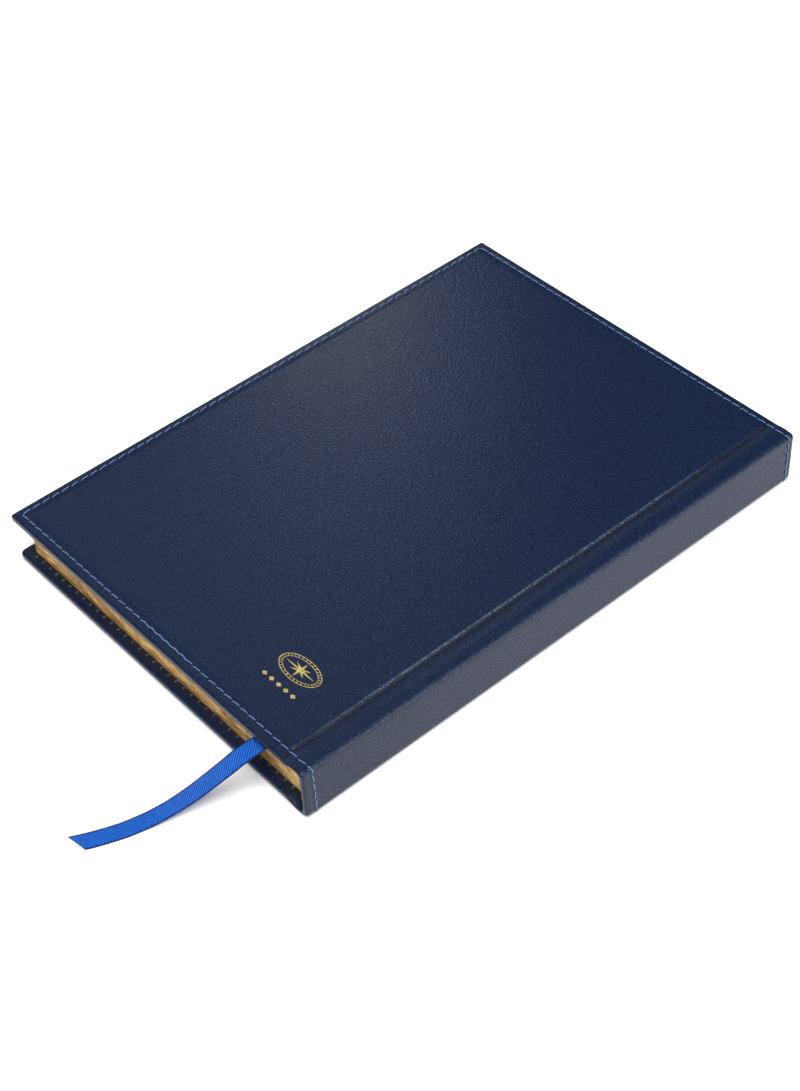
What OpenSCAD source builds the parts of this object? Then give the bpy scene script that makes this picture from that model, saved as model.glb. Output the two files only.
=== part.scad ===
// A case-bound, sewn logbook that lies on its front cover, with its back cover up.
// Origin: the centre of the footprint of the book, on the surface it lies on.
// +X points to the spine, +Y to the head, +Z up through the back cover.

/* [Book] */
// Width of the closed book, from the fore edge to the spine face
book_w = 172; // [150:1:200]
// Height of the book, from tail to head
book_h = 240; // [200:2:280]
// Thickness of the closed book
book_t = 23.4; // [21:0.2:30]

/* [Covers] */
// Thickness of the outer leather
leather_t = 0.6; // [0.4:0.1:0.8]
// Height by which the padded face stands above the sewn rim
pad_rise = 0.5; // [0.4:0.1:0.7]
// Thickness of the cover boards
board_t = 2.3; // [1.8:0.1:2.6]
// Radius of the fore corners of the covers
corner_r = 1.8; // [1:0.2:4]
// Width of the sewn rim around the padded face
rim_w = 5.2; // [4.6:0.2:8]
// Width of the flexible joint between the board and the spine
joint_w = 10; // [8:0.5:12]

/* [Page block] */
// Overhang of the covers past the pages at head and tail
overhang_y = 4.4; // [3:0.2:7]
// Overhang of the covers past the pages at the fore edge
overhang_x = 5.4; // [3:0.2:8]
// Thickness of the loose leaves next to the front flyleaf
front_leaves_1_t = 1.6; // [0.6:0.2:2]
// Thickness of the second group of front leaves
front_leaves_2_t = 2.4; // [1:0.2:3]
// Number of sewn sections in the fixed part of the block
section_count = 7; // [4:1:9]

/* [Stitching] */
// Distance of the seam from the edge
seam_inset = 3.2; // [2.8:0.1:3.6]
// Distance from one stitch to the next
stitch_pitch = 4.4; // [3.4:0.1:6]
// Length of one visible stitch
stitch_len = 3.7; // [2:0.1:3.9]
// Width of one stitch
stitch_w = 0.8; // [0.5:0.1:1]

/* [Ribbon] */
// Width of the marker ribbon
ribbon_w = 7; // [5:0.5:8]
// Thickness of the marker ribbon
ribbon_t = 0.15; // [0.1:0.05:0.2]

/* [Foil stamping] */
// Width of the foil compass star
star_w = 20; // [12:1:24]
// Height of the foil compass star
star_h = 10.5; // [8:0.5:14]
// Length of the foil bar under the star
bar_w = 19; // [10:1:24]
// Distance of the middle of the star from the spine face
star_from_spine = 36; // [30:1:60]
// Distance of the middle of the star from the tail
star_from_tail = 29; // [24:1:60]

/* [Hidden] */
$fn = 48;
eps = 0.01;
x_fore = -book_w / 2;
x_spine = book_w / 2;
y_head = book_h / 2;

// Layers of a cover, as depths below its padded outer face
rim_c = pad_rise;
board_c = rim_c + leather_t;
lining_c = board_c + board_t;
lining_t = 0.25;
lip_t = 0.3;
lip_w = 2;
pastedown_c = lining_c + lining_t;
pastedown_t = 0.15;
inner_c = pastedown_c + pastedown_t;
pastedown_inset = 5.5;

// The joint between board and spine
board_x = x_spine - joint_w;
groove_w = 1.6;
groove_depth = 0.8;
joint_liner_t = 0.4;
axis_in = 0.8;
strip_x = x_spine - axis_in;
strip_clear = 0.2;

// The spine wall, from its outer face inwards
spine_gap_z = 1.7;
spine_board_t = 1.6;
spine_lining_t = 0.3;
spine_board_x = x_spine - leather_t - spine_board_t;
spine_lining_x = spine_board_x - spine_lining_t;
seam_channel = 0.35;
stitch_h = 0.3;

// The page block
block_x = x_spine - 4;
block_fore = x_fore + overhang_x;
block_y = y_head - overhang_y;
block_clear = 0.1;
leaf_gap = 0.05;
flyleaf_t = 0.2;
back_leaves_1_t = 0.4;
back_leaves_2_t = 0.5;
block_z0 = inner_c + block_clear;
block_z1 = book_t - inner_c - block_clear;
front_leaves_1_z = block_z0 + flyleaf_t + leaf_gap;
front_leaves_2_z = front_leaves_1_z + front_leaves_1_t + leaf_gap;
core_z0 = front_leaves_2_z + front_leaves_2_t + leaf_gap;
back_flyleaf_z = block_z1 - flyleaf_t;
back_leaves_1_z = back_flyleaf_z - leaf_gap - back_leaves_1_t;
back_leaves_2_z = back_leaves_1_z - leaf_gap - back_leaves_2_t;
core_z1 = back_leaves_2_z - leaf_gap - ribbon_t;
section_gap = 0.04;

// Sewing and linings on the spine of the block
thread_t = 0.2;
gauze_t = 0.2;
liner_t = 0.3;
gauze_inset = 8;
thread_rows = 5;
thread_len = 14;
band_r = 0.6;
band_w = 1.1;

// Route of the free ribbon tail, from the pages at the tail down to the surface
ribbon_root_x = 61.8;
ribbon_route = [
    [61.8, -115.6, 18.1], [61.8, -119, 18.0], [61.5, -123, 17.6], [60.9, -127, 16.6],
    [60, -131, 14.7], [58.6, -135, 12.2], [57, -139, 9.4], [55.4, -143, 6.8],
    [53.9, -147, 4.7], [52.5, -151, 3.0], [51.2, -155, 1.8], [50, -159, 1.0],
    [48.8, -163, 0.6], [47.6, -167, 0.4], [46.2, -171, 0.4], [44.6, -175, 0.4],
    [42.8, -179, 0.4], [41, -182.6, 0.4]
];
ribbon_head = [76, 110];

// ---------- shared shapes ----------

// Outline of a cover layer: fore corners rounded, spine side square
module cover_outline(inset, x_to) {
    r = max(corner_r - inset, 0.4);
    x0 = x_fore + inset;
    y1 = y_head - inset;
    translate([x0, -y1 + r]) square([x_to - x0, 2 * (y1 - r)]);
    translate([x0 + r, -y1]) square([x_to - x0 - r, 2 * y1]);
    for (s = [-1, 1]) translate([x0 + r, s * (y1 - r)]) circle(r);
}

module cover_layer(inset, x_to, c0, c1)
    translate([0, 0, c0]) linear_extrude(c1 - c0) cover_outline(inset, x_to);

// Turns a cover drawn for the front into the back cover
module as_back() translate([0, 0, book_t]) mirror([0, 0, 1]) children();

// A slab of the page block
module leaf_slab(z, t)
    translate([block_fore, -block_y, z]) cube([block_x - block_fore, 2 * block_y, t]);

// ---------- covers, drawn with the outer face down at z = 0 ----------

module skin() {
    difference() {
        union() {
            cover_layer(0, board_x, rim_c, lining_c + lip_t);
            cover_layer(rim_w, board_x - 1, 0, rim_c + eps);
            translate([board_x - eps, -y_head, rim_c])
                cube([strip_x - board_x + eps, book_h, groove_depth + leather_t]);
        }
        // the pocket for the board and the opening for the lining
        cover_layer(leather_t, board_x - leather_t, board_c, lining_c);
        cover_layer(lip_w, board_x - leather_t, lining_c - eps, lining_c + 1);
        cover_layer(rim_w + leather_t, board_x - 1 - leather_t, leather_t, board_c + eps);
        // the open spine side of the board, above the joint
        translate([board_x - leather_t - eps, -y_head - 1, board_c + groove_depth])
            cube([leather_t + 1, book_h + 2, 9]);
        // the groove outside, and the thin strip inside
        translate([board_x, -y_head - 1, -1])
            cube([groove_w, book_h + 2, rim_c + groove_depth + 1]);
        translate([board_x + groove_w + leather_t, -y_head - 1, rim_c + leather_t])
            cube([joint_w, book_h + 2, 9]);
    }
}

module padding_pad()
    cover_layer(rim_w + leather_t, board_x - 1 - leather_t, leather_t, board_c);

module board_panel()
    cover_layer(leather_t, board_x - leather_t, board_c, lining_c);

module lining_panel()
    cover_layer(lip_w, board_x - leather_t, lining_c, pastedown_c);

module joint_liner() {
    x0 = board_x + groove_w + leather_t;
    translate([x0, -y_head + lip_w, rim_c + leather_t])
        cube([strip_x - x0 - strip_clear, book_h - 2 * lip_w, joint_liner_t]);
}

module pastedown_sheet()
    cover_layer(pastedown_inset, board_x - leather_t, pastedown_c, inner_c);

// One visible stitch, along X, on the rim
module stitch()
    translate([-stitch_len / 2, -stitch_w / 2, rim_c - stitch_h])
        cube([stitch_len, stitch_w, stitch_h]);

// The seam of a cover along its tail, fore edge and head
module cover_seam() {
    run_x = strip_x - x_fore - seam_inset - stitch_pitch;
    run_y = book_h - 2 * seam_inset - stitch_pitch;
    count_x = floor(run_x / stitch_pitch);
    count_y = floor(run_y / stitch_pitch);
    for (i = [0 : count_x - 1], s = [-1, 1])
        translate([x_fore + seam_inset + stitch_pitch * (i + 0.7), s * (y_head - seam_inset), 0])
            if (i * stitch_pitch < board_x - x_fore - 2 * stitch_pitch
                || (i - 1) * stitch_pitch > board_x + groove_w - x_fore - seam_inset - stitch_pitch)
                stitch();
    for (i = [0 : count_y - 1])
        translate([x_fore + seam_inset, (i - (count_y - 1) / 2) * stitch_pitch, 0])
            rotate([0, 0, 90]) stitch();
}

// ---------- foil stamping on the back cover ----------

// A four-pointed star with short diagonal points
module star_outline() {
    waist = 0.16;
    diagonal = 0.42;
    points = [for (k = [0 : 15])
        let (a = k * 22.5, r = k % 4 == 0 ? 1 : k % 2 == 0 ? diagonal : waist * 1.6)
        [star_w / 2 * r * cos(a), star_h / 2 * r * sin(a)]];
    polygon(points);
}

foil_x = x_spine - star_from_spine;
foil_y = -y_head + star_from_tail;
bar_y = foil_y - 9.5;
bar_h = 1.4;
foil_depth = 0.2;
foil_t = 0.1;

module star_prism(c0, t) translate([foil_x, foil_y, c0]) linear_extrude(t) star_outline();

module bar_prism(c0, t)
    translate([foil_x - bar_w / 2, bar_y - bar_h / 2, c0]) cube([bar_w, bar_h, t]);

// ---------- nodes of the front cover ----------

module front_leather() color("#1d3068") skin();
module front_padding() color("#8d8f92") padding_pad();
module front_board() color("#7c7468") board_panel();
module front_lining() color("#17181c") lining_panel();
module front_joint_liner() color("#17181c") joint_liner();
module front_pastedown() color("#efe9da") pastedown_sheet();
module front_stitching() color("#4f74c4") cover_seam();

// ---------- nodes of the back cover ----------

module back_leather() color("#1d3068") difference() {
    as_back() skin();
    as_back() star_prism(-eps, foil_depth + eps);
    as_back() bar_prism(-eps, foil_depth + eps);
}
module back_padding() color("#8d8f92") as_back() padding_pad();
module back_board() color("#7c7468") as_back() board_panel();
module back_lining() color("#17181c") as_back() lining_panel();
module back_joint_liner() color("#17181c") as_back() joint_liner();
module back_pastedown() color("#efe9da") as_back() pastedown_sheet();
module back_stitching() color("#4f74c4") as_back() cover_seam();
module foil_star() color("#d0a955") as_back() star_prism(foil_depth - foil_t, foil_t);
module foil_bar() color("#d0a955") as_back() bar_prism(foil_depth - foil_t, foil_t);

// ---------- nodes of the spine and the page block ----------

spine_h = book_t - 2 * spine_gap_z;

module spine_leather() color("#33508f") difference() {
    translate([spine_board_x, -y_head, spine_gap_z])
        cube([x_spine - spine_board_x, book_h, spine_h]);
    translate([spine_board_x - eps, -y_head + leather_t, spine_gap_z - 1])
        cube([spine_board_t + eps, book_h - 2 * leather_t, spine_h + 2]);
    for (s = [-1, 1])
        translate([x_spine - seam_channel, s * (y_head - seam_inset) - stitch_w, spine_gap_z - 1])
            cube([1, 2 * stitch_w, spine_h + 2]);
}

module spine_board() color("#7c7468")
    translate([spine_board_x, -y_head + leather_t, spine_gap_z])
        cube([spine_board_t, book_h - 2 * leather_t, spine_h]);

module spine_lining() color("#17181c")
    translate([spine_lining_x, -y_head + lip_w, spine_gap_z])
        cube([spine_lining_t, book_h - 2 * lip_w, spine_h]);

module spine_stitching() color("#4f74c4") {
    count = floor((spine_h - 0.6) / stitch_pitch);
    for (i = [0 : count - 1], s = [-1, 1])
        translate([x_spine - seam_channel, s * (y_head - seam_inset) - stitch_w / 2,
                   book_t / 2 + (i - (count - 1) / 2) * stitch_pitch - stitch_len / 2])
            cube([stitch_h, stitch_w, stitch_len]);
}

module core_sections() color("#b08a4a") {
    pitch = (core_z1 - core_z0) / section_count;
    for (i = [0 : section_count - 1])
        leaf_slab(core_z0 + i * pitch, pitch - (i < section_count - 1 ? section_gap : 0));
}

// Runs of thread across the section folds at the sewing stations
module sewing_thread() color("#f2efe6")
    for (i = [0 : thread_rows - 1])
        translate([block_x, (i - (thread_rows - 1) / 2) * book_h / (thread_rows + 1), core_z0])
            cube([thread_t, 0.8, core_z1 - core_z0]);

module spine_gauze() color("#e4dfcf")
    translate([block_x + thread_t, -block_y + gauze_inset, core_z0])
        cube([gauze_t, 2 * (block_y - gauze_inset), core_z1 - core_z0]);

module spine_paper() color("#a98a5d")
    translate([block_x + thread_t + gauze_t, -block_y + band_w, core_z0])
        cube([liner_t, 2 * (block_y - band_w), core_z1 - core_z0]);

// A rolled band of cloth along the end of the block's spine
module end_band(s)
    translate([block_x, s > 0 ? block_y - band_w : -block_y, core_z0]) {
        cube([thread_t, band_w, core_z1 - core_z0]);
        translate([band_r, s > 0 ? band_w - band_r : band_r, 0])
            cylinder(r = band_r - 0.1, h = core_z1 - core_z0);
        translate([0, s > 0 ? band_w - 2 * band_r + 0.2 : 0.2, 0])
            cube([band_r, 2 * band_r - 0.4, core_z1 - core_z0]);
    }

module head_band() color("#2c4a9c") end_band(1);
module tail_band() color("#2c4a9c") end_band(-1);

module front_flyleaf() color("#efe9da") leaf_slab(block_z0, flyleaf_t);
module front_leaves_1() color("#b08a4a") leaf_slab(front_leaves_1_z, front_leaves_1_t);
module front_leaves_2() color("#b08a4a") leaf_slab(front_leaves_2_z, front_leaves_2_t);
module back_leaves_2() color("#b08a4a") leaf_slab(back_leaves_2_z, back_leaves_2_t);
module back_leaves_1() color("#b08a4a") leaf_slab(back_leaves_1_z, back_leaves_1_t);
module back_flyleaf() color("#efe9da") leaf_slab(back_flyleaf_z, flyleaf_t);

// ---------- marker ribbon ----------

// The stretch of ribbon that lies between the pages
module ribbon_inner() color("#1f49b0") {
    half = ribbon_w / 2;
    translate([0, 0, core_z1]) linear_extrude(ribbon_t) polygon([
        [ribbon_root_x - half, -block_y], [ribbon_root_x + half, -block_y],
        [ribbon_head[0] + half, ribbon_head[1]], [ribbon_head[0] - half, ribbon_head[1]]
    ]);
}

// Direction along the route at point i
function route_dir(i) =
    let (a = ribbon_route[max(i - 1, 0)],
         b = ribbon_route[min(i + 1, len(ribbon_route) - 1)],
         d = b - a)
    d / norm(d);

// Four corners of the ribbon's section at point i
function route_ring(i) =
    let (d = route_dir(i),
         across = [-d[1], d[0], 0] / norm([d[0], d[1]]),
         up = cross(d, across),
         p = ribbon_route[i],
         w = across * ribbon_w / 2,
         t = (up[2] < 0 ? -up : up) * ribbon_t / 2)
    [p - w - t, p + w - t, p + w + t, p - w + t];

module ribbon_tail() color("#1f49b0") {
    n = len(ribbon_route);
    points = [for (i = [0 : n - 1]) each route_ring(i)];
    sides = [for (i = [0 : n - 2], k = [0 : 3])
        let (a = 4 * i + k, b = 4 * i + (k + 1) % 4)
        each [[a, b, b + 4], [a, b + 4, a + 4]]];
    last = 4 * (n - 1);
    polyhedron(points, concat([[2, 1, 0], [3, 2, 0]], sides,
        [[last, last + 1, last + 2], [last, last + 2, last + 3]]));
}

front_leather();
front_padding();
front_board();
front_lining();
front_joint_liner();
front_pastedown();
front_stitching();
spine_leather();
spine_board();
spine_lining();
spine_stitching();
core_sections();
sewing_thread();
spine_gauze();
spine_paper();
head_band();
tail_band();
ribbon_inner();
ribbon_tail();
front_flyleaf();
front_leaves_1();
front_leaves_2();
back_leaves_2();
back_leaves_1();
back_flyleaf();
back_leather();
back_padding();
back_board();
back_lining();
back_joint_liner();
back_pastedown();
back_stitching();
foil_star();
foil_bar();
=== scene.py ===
"""Looks of a case-bound, padded logbook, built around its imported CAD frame.

Lengths are in millimetres until a mesh is made. A cover is drawn in (x, y, c), where c is the depth
below its padded outer face: the front cover has z = c and the back cover has z = thickness - c.
"""

import math

import bmesh
import bpy
from mathutils import Matrix, Vector, noise


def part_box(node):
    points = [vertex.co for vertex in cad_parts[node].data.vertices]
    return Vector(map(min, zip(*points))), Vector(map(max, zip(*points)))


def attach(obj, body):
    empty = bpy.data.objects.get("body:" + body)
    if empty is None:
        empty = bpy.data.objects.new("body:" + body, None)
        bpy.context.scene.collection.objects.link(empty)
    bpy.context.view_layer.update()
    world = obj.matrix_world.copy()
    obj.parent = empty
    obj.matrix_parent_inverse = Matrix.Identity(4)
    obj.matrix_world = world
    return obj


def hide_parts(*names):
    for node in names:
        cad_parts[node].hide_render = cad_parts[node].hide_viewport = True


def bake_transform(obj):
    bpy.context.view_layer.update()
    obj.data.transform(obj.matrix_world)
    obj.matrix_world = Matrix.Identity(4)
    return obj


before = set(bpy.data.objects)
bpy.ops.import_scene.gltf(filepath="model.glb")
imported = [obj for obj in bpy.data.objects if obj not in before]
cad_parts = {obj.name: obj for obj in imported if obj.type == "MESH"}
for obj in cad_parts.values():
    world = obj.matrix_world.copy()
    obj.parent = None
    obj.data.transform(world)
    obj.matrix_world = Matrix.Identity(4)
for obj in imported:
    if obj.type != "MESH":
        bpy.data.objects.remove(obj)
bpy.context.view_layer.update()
MM = 0.001


def box_mm(node):
    """The low and high corners of a CAD node's box, in millimetres."""
    low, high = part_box(node)
    return low / MM, high / MM


# --- sizes, from the frame ---

LEATHER_LOW, LEATHER_HIGH = box_mm("back_leather")
THICK = LEATHER_HIGH.z
X_FORE = LEATHER_LOW.x
Y_HEAD = LEATHER_HIGH.y
X_SPINE = box_mm("spine_leather")[1].x
BOARD_X = box_mm("back_board")[1].x
RIM_C = box_mm("front_stitching")[1].z
LIP_C = box_mm("front_leather")[1].z
LINING_C = box_mm("front_lining")[1].z
SEAM_HALF_W = 0.4
SEAM_D = Y_HEAD - box_mm("spine_stitching")[1].y + SEAM_HALF_W
BLOCK_LOW, BLOCK_HIGH = box_mm("core_sections")
MID_C = THICK / 2

# --- meshes ---


def new_object(name, points, faces, smooth=True, face_slots=None):
    """An object from points in millimetres."""
    mesh = bpy.data.meshes.new(name)
    mesh.from_pydata([Vector(p) * MM for p in points], [], faces)
    obj = bpy.data.objects.new(name, mesh)
    bpy.context.scene.collection.objects.link(obj)
    if face_slots:
        mesh.polygons.foreach_set("material_index", face_slots)
    mesh.polygons.foreach_set("use_smooth", [smooth] * len(mesh.polygons))
    mesh.update()
    return obj


SKIN_WELD = 0.004
FINE_WELD = 0.0001


def clean(obj, weld=SKIN_WELD):
    """Joins points that coincide, and makes the faces point outwards."""
    bm = bmesh.new()
    bm.from_mesh(obj.data)
    bmesh.ops.remove_doubles(bm, verts=bm.verts, dist=weld * MM)
    bmesh.ops.recalc_face_normals(bm, faces=bm.faces)
    bm.to_mesh(obj.data)
    bm.free()
    return obj


def solidify(obj, thickness):
    """Gives an open sheet its thickness, on the side away from its normals."""
    modifier = obj.modifiers.new("thickness", "SOLIDIFY")
    modifier.thickness = thickness * MM
    modifier.offset = -1
    modifier.use_even_offset = True
    depsgraph = bpy.context.evaluated_depsgraph_get()
    mesh = bpy.data.meshes.new_from_object(obj.evaluated_get(depsgraph))
    obj.modifiers.clear()
    obj.data = mesh
    return obj


def keep_rest(obj):
    """Stores each point's place at rest, in millimetres, for the materials of pieces that bend."""
    attribute = obj.data.attributes.new("rest_mm", "FLOAT_VECTOR", "POINT")
    for i, v in enumerate(obj.data.vertices):
        attribute.data[i].vector = v.co / MM
    return obj


def grid_faces(rows, columns, first=0):
    """Faces of an open grid whose points were added row by row, starting at number first."""
    return [
        (first + i * columns + j, first + i * columns + j + 1,
         first + (i + 1) * columns + j + 1, first + (i + 1) * columns + j)
        for i in range(rows - 1) for j in range(columns - 1)
    ]


def ring_faces(rings, count):
    """Faces between successive closed rings of count points each."""
    return [
        (i * count + k, i * count + (k + 1) % count,
         (i + 1) * count + (k + 1) % count, (i + 1) * count + k)
        for i in range(rings - 1) for k in range(count)
    ]


def tube_faces(rings, count):
    """Faces of a tube of closed rings, with a flat face over each end."""
    ends = [tuple(reversed(range(count))), tuple(range((rings - 1) * count, rings * count))]
    return ring_faces(rings, count) + ends


def smoothstep(low, high, x):
    """0 up to low and 1 from high, with a smooth rise between them."""
    t = min(1.0, max(0.0, (x - low) / (high - low)))
    return t * t * (3 - 2 * t)


def on_oval(centre, half, angle):
    """(x, y) on an oval with the half sizes half, at an angle in radians."""
    return centre.x + half[0] * math.cos(angle), centre.y + half[1] * math.sin(angle)


def spaced(low, high, step):
    """Evenly spaced numbers from low to high, about a step apart."""
    count = max(1, round((high - low) / step))
    return [low + (high - low) * i / count for i in range(count + 1)]


def along(points, count):
    """The ends of count equal stretches along a polyline."""
    lengths = [0.0]
    for a, b in zip(points, points[1:]):
        lengths.append(lengths[-1] + (b - a).length)
    total = lengths[-1]
    out, k = [], 0
    for i in range(count + 1):
        s = total * i / count
        while k < len(lengths) - 2 and lengths[k + 1] < s:
            k += 1
        t = (s - lengths[k]) / max(lengths[k + 1] - lengths[k], 1e-9)
        out.append(points[k].lerp(points[k + 1], min(1, t)))
    return out


# --- materials ---


class Nodes:
    """A few lines of help for writing a material's nodes."""

    def __init__(self, name):
        self.material = bpy.data.materials.new(name)
        self.material.use_nodes = True
        self.tree = self.material.node_tree
        self.shader = self.tree.nodes["Principled BSDF"]

    def add(self, kind, links=None, **settings):
        node = self.tree.nodes.new("ShaderNode" + kind)
        for key, value in settings.items():
            setattr(node, key, value)
        for key, value in (links or {}).items():
            self.put(node.inputs[key], value)
        return node

    def put(self, socket, value):
        if isinstance(value, bpy.types.NodeSocket):
            self.tree.links.new(value, socket)
        else:
            socket.default_value = value

    def set(self, **values):
        """Sets or links inputs of the main shader; underscores stand for spaces."""
        for key, value in values.items():
            self.put(self.shader.inputs[key.replace("_", " ")], value)

    def place(self, bends):
        """The point on the object in millimetres: its stored place at rest if the piece bends."""
        if bends:
            return self.add("Attribute", attribute_name="rest_mm").outputs["Vector"]
        return self.scaled(self.add("TexCoord").outputs["Object"], (1 / MM, 1 / MM, 1 / MM))

    def scaled(self, vector, scale):
        return self.add("VectorMath", {0: vector, 1: scale}, operation="MULTIPLY").outputs[0]

    def noise(self, vector, scale, detail=3, roughness=0.5):
        node = self.add("TexNoise", {"Vector": vector, "Scale": scale, "Detail": detail,
                                     "Roughness": roughness})
        return node.outputs["Fac"]

    def cells(self, vector, scale):
        """The distance to the nearest line of a random net."""
        node = self.add("TexVoronoi", {"Vector": vector, "Scale": scale}, feature="DISTANCE_TO_EDGE")
        return node.outputs["Distance"]

    def axes(self, vector):
        return self.add("SeparateXYZ", {0: vector}).outputs

    def math(self, operation, a, b=0.5):
        return self.add("Math", {0: a, 1: b}, operation=operation).outputs[0]

    def plus(self, a, b):
        return self.math("ADD", a, b)

    def minus(self, a, b):
        return self.math("SUBTRACT", a, b)

    def times(self, a, b):
        return self.math("MULTIPLY", a, b)

    def total(self, *terms):
        """The sum of its terms, each a value and its weight."""
        out = None
        for value, weight in terms:
            part = self.times(value, weight)
            out = part if out is None else self.plus(out, part)
        return out

    def hump(self, *offsets):
        """1 where every offset is 0, falling smoothly to 0 as they grow."""
        return self.math("EXPONENT", self.total(*((self.times(o, o), -1.0) for o in offsets)))

    def spread(self, value, low, high, to_low=0.0, to_high=1.0):
        """Maps low to high onto to_low to to_high, and stays level outside them."""
        node = self.add("MapRange", {"Value": value, "From Min": low, "From Max": high,
                                     "To Min": to_low, "To Max": to_high})
        return node.outputs["Result"]

    def ramp(self, value, stops):
        node = self.add("ValToRGB", {"Fac": value})
        elements = node.color_ramp.elements
        while len(elements) < len(stops):
            elements.new(0.5)
        for element, (position, colour) in zip(elements, stops):
            element.position = position
            element.color = (*colour, 1)
        return node.outputs["Color"]

    def mix(self, factor, a, b):
        """A mix of two colours, each a socket or (red, green, blue)."""
        a, b = ((*value, 1) if isinstance(value, tuple) else value for value in (a, b))
        return self.add("Mix", {0: factor, 6: a, 7: b}, data_type="RGBA").outputs[2]

    def bump(self, height, strength, distance_mm):
        links = {"Height": height, "Strength": strength, "Distance": distance_mm * MM}
        return self.add("Bump", links).outputs["Normal"]


def leather(crease_and_groove_shade, dark, light, worn, roughness):
    """Coated leather: pebbles about 1.6 mm across, dark creases between them, painted shade in the joint's
    groove, and paler edges that are partly worn and partly a painted highlight.
    """
    n = Nodes("navy_leather")
    place = n.place(True)
    warp = n.add("TexNoise", {"Vector": place, "Scale": 0.8, "Detail": 3.0})
    drift = n.add("VectorMath", {0: warp.outputs["Color"], "Scale": 0.9}, operation="SCALE").outputs[0]
    bent = n.add("VectorMath", {0: place, 1: drift}, operation="ADD").outputs[0]
    pebble = n.spread(n.cells(bent, 0.6), 0.0, 0.3)
    fine = n.spread(n.cells(bent, 1.4), 0.0, 0.28)
    lumps = n.noise(place, 0.55, 3, 0.6)
    speck = n.noise(place, 1.3, 3, 0.65)
    crest, groove_shade, dull = joint_masks(n, place)
    gloss = n.spread(speck, 0.3, 0.7, roughness + 0.06, roughness - 0.06)
    teeth = n.noise(n.scaled(place, (0.4, 1.5, 0.4)), 1.0, 2, 0.5)
    height = n.total((pebble, 1.0), (fine, 0.2), (lumps, 0.35), (speck, 0.2), (n.times(crest, teeth), 2.0))
    colour = n.mix(n.spread(speck, 0.36, 0.66), dark, light)
    colour = n.mix(n.spread(pebble, 0.0, 0.6, 0.65, 0.0), colour, crease_and_groove_shade)
    # painted shade: the colour in the groove's fold is darkened towards the crease colour
    colour = n.mix(n.times(groove_shade, 0.95), colour, crease_and_groove_shade)
    # paler colour along the groove's crest, partly rubbed wear and partly a painted highlight, and a
    # painted highlight along the spine's rounded long edges
    rubbed_and_highlit = n.times(edge_wear_and_highlight(n, place), n.spread(speck, 0.42, 0.6, 0.05, 1.0))
    n.set(Base_Color=n.mix(rubbed_and_highlit, colour, worn),
          Roughness=n.plus(gloss, n.times(dull, 0.35)),
          Normal=n.bump(height, 1.0, 0.05),
          Specular_IOR_Level=0.26)
    return n.material


# along the joint: its crest, the fold in the groove, where the colour is darkened as painted shade, and the
# dull stretch past it, as (x, width)
JOINT_LINES = ((BOARD_X - 0.6, 0.7), (BOARD_X + 0.6, 0.85), (BOARD_X + 2.3, 2.0))


def joint_masks(n, place):
    """Masks along the lines of the joint: its crest, its groove, whose mask paints shade into the colour,
    and its dull stretch.
    """
    x = n.axes(place)["X"]
    return [n.hump(n.math("DIVIDE", n.minus(x, line_x), width)) for line_x, width in JOINT_LINES]


# paler lines beside the groove, rubbing and a painted highlight, and on the spine's long edges, a painted
# highlight: (x, off mid-height, width, amount)
WEAR_AND_HIGHLIGHT_LINES = ((BOARD_X - 0.4, MID_C - 0.25, 0.38, 0.95),
              (X_SPINE - 0.45, MID_C - RIM_C - 0.45, 0.9, 0.15))
# the pale line beside the groove, rubbing and a painted highlight, is centred at the y below and fades out
# between these distances from it
WEAR_AND_HIGHLIGHT_Y = -10.0
WEAR_AND_HIGHLIGHT_FADE = (62, 98)


def edge_wear_and_highlight(n, place):
    """How much paler the leather is painted: most along the crests beside the grooves, where it is partly
    rubbing and partly a painted highlight, a little along the spine's long edges as a painted highlight,
    and least away from any edge.
    """
    x, y, z = n.axes(place)
    off_middle = n.math("ABSOLUTE", n.minus(z, MID_C))
    lines = []
    for line_x, line_z, width, amount in WEAR_AND_HIGHLIGHT_LINES:
        dx = n.math("DIVIDE", n.minus(x, line_x), width)
        dz = n.math("DIVIDE", n.minus(off_middle, line_z), width)
        lines.append(n.times(n.hump(dx, dz), amount))
    off_centre = n.math("ABSOLUTE", n.minus(y, WEAR_AND_HIGHLIGHT_Y))
    lines[0] = n.times(lines[0], n.spread(off_centre, *WEAR_AND_HIGHLIGHT_FADE, 1.0, 0.0))
    return n.math("MAXIMUM", *lines)


def thread(name, dark, light, bends=True):
    """Twisted, slightly glossy thread with fine fibres."""
    n = Nodes(name)
    place = n.place(bends)
    fibre = n.noise(n.scaled(place, (1, 1, 3)), 3.5, 4, 0.6)
    n.set(Base_Color=n.mix(n.spread(fibre, 0.3, 0.7), dark, light), Roughness=0.55,
          Normal=n.bump(fibre, 0.6, 0.05), Sheen_Weight=0.35, Sheen_Roughness=0.4)
    return n.material


def cloth(name, dark, light, pitch, bends=False, strength=0.5):
    """Plain woven cloth with threads pitch millimetres apart."""
    n = Nodes(name)
    place = n.place(bends)
    k = math.tau / pitch
    x, y, _ = n.axes(place)
    across = n.math("SINE", n.times(x, k))
    down = n.math("SINE", n.times(y, k))
    weave = n.spread(n.times(across, down), -1, 1)
    dust = n.noise(place, 0.6, 4, 0.6)
    height = n.plus(weave, n.times(dust, 0.5))
    n.set(Base_Color=n.mix(n.spread(n.plus(weave, dust), 0.4, 1.5), dark, light),
          Roughness=0.85, Normal=n.bump(height, strength, 0.06),
          Sheen_Weight=0.1, Sheen_Roughness=0.5, Specular_IOR_Level=0.25)
    return n.material


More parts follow.
